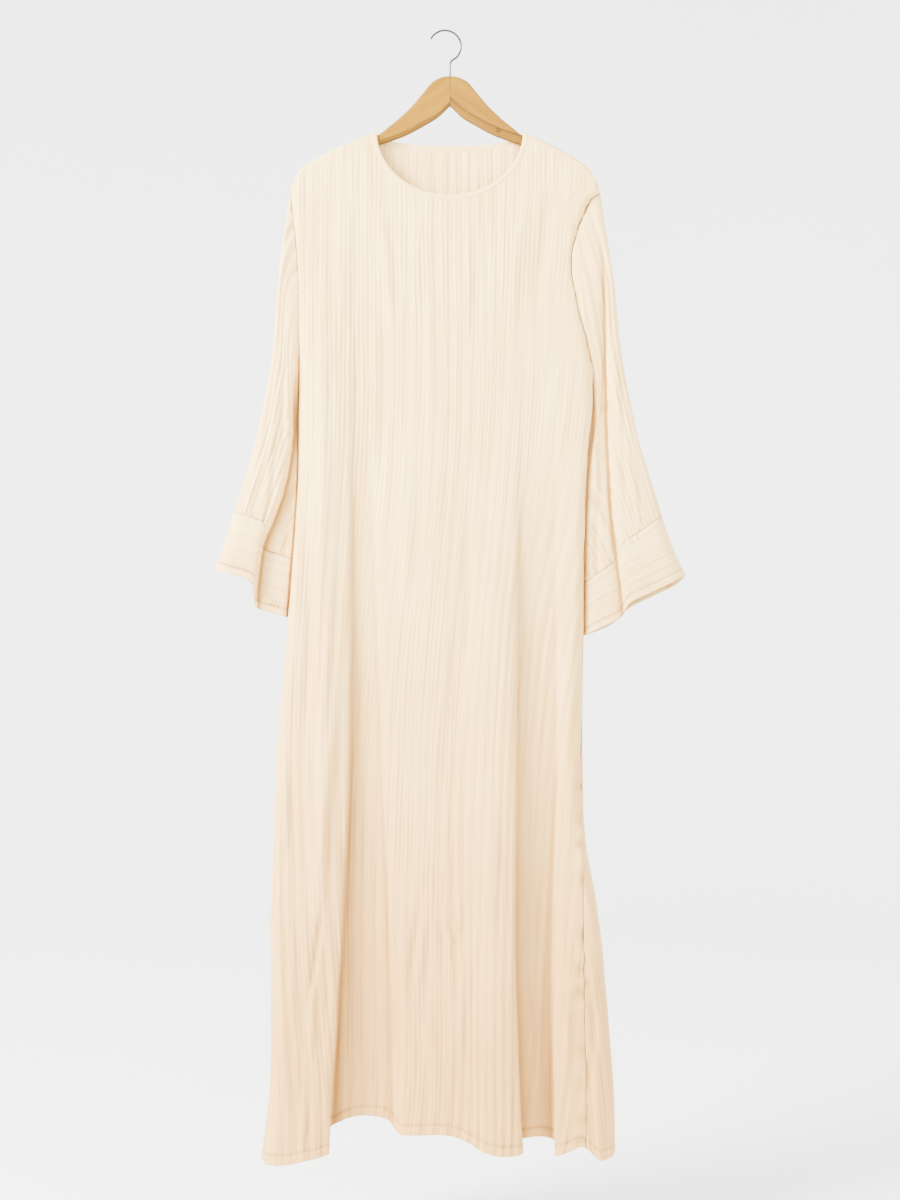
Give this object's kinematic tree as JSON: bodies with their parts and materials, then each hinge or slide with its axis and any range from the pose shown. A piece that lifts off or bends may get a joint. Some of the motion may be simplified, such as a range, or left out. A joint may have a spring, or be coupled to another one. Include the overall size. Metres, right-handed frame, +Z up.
{
  "type": "abaya on a wooden hanger",
  "caption": "Long loose crinkle-pleated abaya with wide sleeves, turned cuffs and a bound round neck, hanging on a wooden hanger with a wire hook",
  "frame": {"origin": "the inside of the hook's top, where a rail or nail holds the hanger", "axes": "+Z up along the hook and the garment, -Y out of the front of the garment, +X to the right as it is seen from the front"},
  "size_m": [0.676, 0.1113, 1.6209],
  "materials": {
    "cloth": "matte crinkled weave",
    "binding": "matte plain weave, folded and stitched",
    "hanger_wood": "clear satin lacquer",
    "hook_steel": "bright plated wire"
  },
  "bodies": {
    "root": {"front_panel": "cloth", "back_panel": "cloth", "left_sleeve": "cloth", "right_sleeve": "cloth", "left_cuff": "cloth", "right_cuff": "cloth", "neck_binding": "binding", "left_hanger_arm": "hanger_wood", "right_hanger_arm": "hanger_wood", "hook": "hook_steel"}
  },
  "joints": []
}
